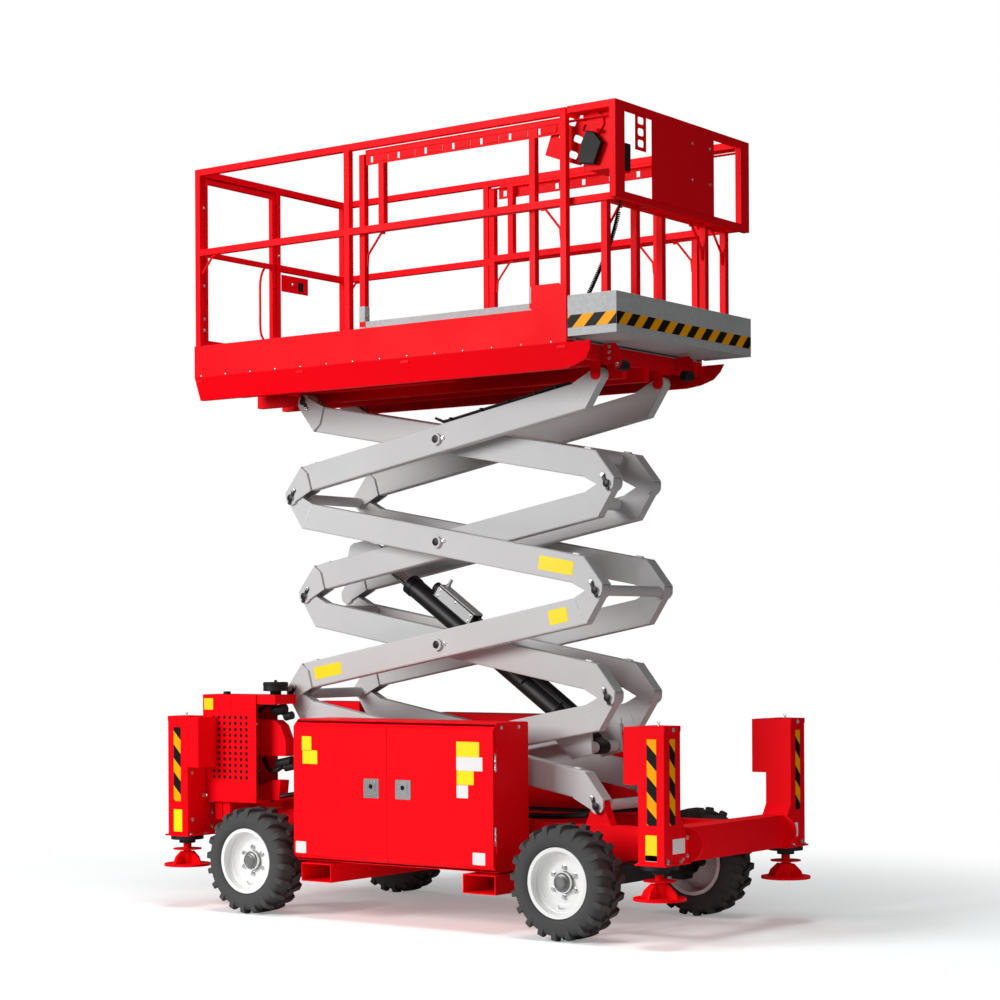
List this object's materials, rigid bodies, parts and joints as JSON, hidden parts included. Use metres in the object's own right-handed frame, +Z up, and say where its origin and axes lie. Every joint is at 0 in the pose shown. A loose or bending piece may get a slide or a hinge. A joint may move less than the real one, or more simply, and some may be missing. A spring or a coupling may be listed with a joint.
{
  "type": "scissor lift",
  "caption": "Diesel rough-terrain scissor lift with a railed extending platform, paired mitred box arms, one lift cylinder, steered lugged wheels and corner outriggers.",
  "frame": {"origin": "on the ground below the middle of the machine, between the outriggers and between the wheels", "axes": "+X to the front, the end that the deck extends over; +Y to the machine's left; +Z up"},
  "size_m": [3.316, 1.445, 3.9851],
  "materials": {
    "red_paint": "gloss powder coat",
    "black_paint": "satin black paint",
    "black_plastic": "moulded",
    "tyre_rubber": "matt, moulded lugs",
    "white_paint": "gloss white enamel",
    "grey_paint": "satin grey paint",
    "chrome_rod": "hard chrome",
    "zinc": "hot-dip galvanised steel",
    "cable_jacket": "coiled jacket"
  },
  "bodies": {
    "chassis": {"chassis_frame": "red_paint", "front_axle": "black_paint", "rear_axle": "black_paint", "outrigger_housings": "red_paint", "outrigger_collars": "black_paint", "cabinet_right": "red_paint", "cabinet_left": "red_paint", "engine_bay": "red_paint", "engine_block": "black_paint", "air_cleaner": "black_plastic", "oil_tank": "red_paint"},
    "steer_right": {"knuckle_right": "black_paint"},
    "steer_left": {"knuckle_left": "black_paint"},
    "wheel_rear_right": {"tyre_rear_right": "tyre_rubber", "rim_rear_right": "white_paint"},
    "leg_rear_right": {"outrigger_leg_rear_right": "red_paint"},
    "wheel_rear_left": {"tyre_rear_left": "tyre_rubber", "rim_rear_left": "white_paint"},
    "leg_rear_left": {"outrigger_leg_rear_left": "red_paint"},
    "wheel_front_right": {"tyre_front_right": "tyre_rubber", "rim_front_right": "white_paint"},
    "leg_front_right": {"outrigger_leg_front_right": "red_paint"},
    "wheel_front_left": {"tyre_front_left": "tyre_rubber", "rim_front_left": "white_paint"},
    "leg_front_left": {"outrigger_leg_front_left": "red_paint"},
    "door_right_rear": {"door_right_rear": "red_paint"},
    "door_right_front": {"door_right_front": "red_paint"},
    "door_left_rear": {"door_left_rear": "red_paint"},
    "door_left_front": {"door_left_front": "red_paint"},
    "outer_1": {"outer_arms_1": "grey_paint"},
    "inner_1": {"inner_arms_1": "grey_paint"},
    "outer_2": {"outer_arms_2": "grey_paint"},
    "inner_2": {"inner_arms_2": "grey_paint"},
    "outer_3": {"outer_arms_3": "grey_paint"},
    "inner_3": {"inner_arms_3": "grey_paint"},
    "outer_4": {"outer_arms_4": "grey_paint"},
    "inner_4": {"inner_arms_4": "grey_paint"},
    "lift_barrel": {"cylinder_barrel": "black_paint"},
    "lift_rod": {"cylinder_rod": "chrome_rod"},
    "platform": {"platform_frame": "red_paint", "platform_floor": "zinc", "main_rails": "red_paint"},
    "gate": {"gate": "red_paint"},
    "extension": {"extension_deck": "zinc", "extension_rails": "red_paint", "front_panel": "red_paint", "control_holder": "red_paint", "control_box": "black_plastic", "control_cable": "cable_jacket"}
  },
  "joints": [
    {"name": "lift", "type": "hinge", "parent": "chassis", "child": "outer_1", "pos_m": [0.981, 0, 0.622], "axis": [0, 1, 0], "range_deg": [-10.5, 45]},
    {"name": "outer_joint_2", "type": "hinge", "parent": "outer_1", "child": "outer_2", "pos_m": [-0.99335, 0, 1.15103], "axis": [0, 1, 0], "range_deg": [-90, 21]},
    {"name": "outer_joint_3", "type": "hinge", "parent": "outer_2", "child": "outer_3", "pos_m": [0.981, 0, 1.68005], "axis": [0, 1, 0], "range_deg": [-21, 90]},
    {"name": "outer_joint_4", "type": "hinge", "parent": "outer_3", "child": "outer_4", "pos_m": [-0.99335, 0, 2.20908], "axis": [0, 1, 0], "range_deg": [-90, 21]},
    {"name": "cross_joint_1", "type": "hinge", "parent": "outer_1", "child": "inner_1", "pos_m": [-0.00618, 0, 0.88651], "axis": [0, 1, 0], "range_deg": [-90, 21]},
    {"name": "cross_joint_2", "type": "hinge", "parent": "outer_2", "child": "inner_2", "pos_m": [-0.00618, 0, 1.41554], "axis": [0, 1, 0], "range_deg": [-21, 90]},
    {"name": "cross_joint_3", "type": "hinge", "parent": "outer_3", "child": "inner_3", "pos_m": [-0.00618, 0, 1.94457], "axis": [0, 1, 0], "range_deg": [-90, 21]},
    {"name": "cross_joint_4", "type": "hinge", "parent": "outer_4", "child": "inner_4", "pos_m": [-0.00618, 0, 2.47359], "axis": [0, 1, 0], "range_deg": [-21, 90]},
    {"name": "platform_joint", "type": "hinge", "parent": "outer_4", "child": "platform", "pos_m": [0.981, 0, 2.73811], "axis": [0, 1, 0], "range_deg": [-10.5, 45]},
    {"name": "barrel_joint", "type": "hinge", "parent": "inner_1", "child": "lift_barrel", "pos_m": [0.78537, 0, 0.89523], "axis": [0, 1, 0], "range_deg": [-18.8, 80.55]},
    {"name": "rod_slide", "type": "slide", "parent": "lift_barrel", "child": "lift_rod", "axis": [-0.8206, 0, 0.5714], "range_m": [-0.2162, 0.9268]},
    {"name": "steering_right", "type": "hinge", "parent": "chassis", "child": "steer_right", "pos_m": [1, -0.45, 0.28], "axis": [0, 0, 1], "range_deg": [-30, 30]},
    {"name": "steering_left", "type": "hinge", "parent": "chassis", "child": "steer_left", "pos_m": [1, 0.45, 0.28], "axis": [0, 0, 1], "range_deg": [-30, 30]},
    {"name": "roll_rear_right", "type": "hinge", "parent": "chassis", "child": "wheel_rear_right", "pos_m": [-1, -0.61, 0.28], "axis": [0, 1, 0], "continuous": true},
    {"name": "roll_rear_left", "type": "hinge", "parent": "chassis", "child": "wheel_rear_left", "pos_m": [-1, 0.61, 0.28], "axis": [0, 1, 0], "continuous": true},
    {"name": "roll_front_right", "type": "hinge", "parent": "steer_right", "child": "wheel_front_right", "pos_m": [1, -0.61, 0.28], "axis": [0, 1, 0], "continuous": true},
    {"name": "roll_front_left", "type": "hinge", "parent": "steer_left", "child": "wheel_front_left", "pos_m": [1, 0.61, 0.28], "axis": [0, 1, 0], "continuous": true},
    {"name": "leg_slide_rear_right", "type": "slide", "parent": "chassis", "child": "leg_rear_right", "axis": [0, 0, -1], "range_m": [0, 0.3]},
    {"name": "leg_slide_rear_left", "type": "slide", "parent": "chassis", "child": "leg_rear_left", "axis": [0, 0, -1], "range_m": [0, 0.3]},
    {"name": "leg_slide_front_right", "type": "slide", "parent": "chassis", "child": "leg_front_right", "axis": [0, 0, -1], "range_m": [0, 0.3]},
    {"name": "leg_slide_front_left", "type": "slide", "parent": "chassis", "child": "leg_front_left", "axis": [0, 0, -1], "range_m": [0, 0.3]},
    {"name": "door_hinge_right_rear", "type": "hinge", "parent": "chassis", "child": "door_right_rear", "pos_m": [-0.688, -0.649, 0.665], "axis": [0, 0, -1], "range_deg": [0, 90]},
    {"name": "door_hinge_right_front", "type": "hinge", "parent": "chassis", "child": "door_right_front", "pos_m": [0.611, -0.649, 0.665], "axis": [0, 0, 1], "range_deg": [0, 90]},
    {"name": "door_hinge_left_rear", "type": "hinge", "parent": "chassis", "child": "door_left_rear", "pos_m": [-0.688, 0.649, 0.665], "axis": [0, 0, 1], "range_deg": [0, 90]},
    {"name": "door_hinge_left_front", "type": "hinge", "parent": "chassis", "child": "door_left_front", "pos_m": [0.611, 0.649, 0.665], "axis": [0, 0, -1], "range_deg": [0, 90]},
    {"name": "gate_hinge", "type": "hinge", "parent": "platform", "child": "gate", "pos_m": [-1.398, -0.561, 3.4], "axis": [0, 0, -1], "range_deg": [0, 90]},
    {"name": "deck_slide", "type": "slide", "parent": "platform", "child": "extension", "axis": [1, 0, 0], "range_m": [0, 0.9]}
  ],
  "couplings": [
    {"joint": "outer_joint_2", "follows": "lift", "ratio": -2},
    {"joint": "outer_joint_3", "follows": "lift", "ratio": 2},
    {"joint": "outer_joint_4", "follows": "lift", "ratio": -2},
    {"joint": "cross_joint_1", "follows": "lift", "ratio": -2},
    {"joint": "cross_joint_2", "follows": "lift", "ratio": 2},
    {"joint": "cross_joint_3", "follows": "lift", "ratio": -2},
    {"joint": "cross_joint_4", "follows": "lift", "ratio": 2},
    {"joint": "platform_joint", "follows": "lift", "ratio": 1},
    {"joint": "barrel_joint", "follows": "lift", "ratio": 1.79},
    {"joint": "rod_slide", "follows": "lift", "m_per_rad": 1.18},
    {"joint": "steering_left", "follows": "steering_right", "ratio": 1}
  ]
}
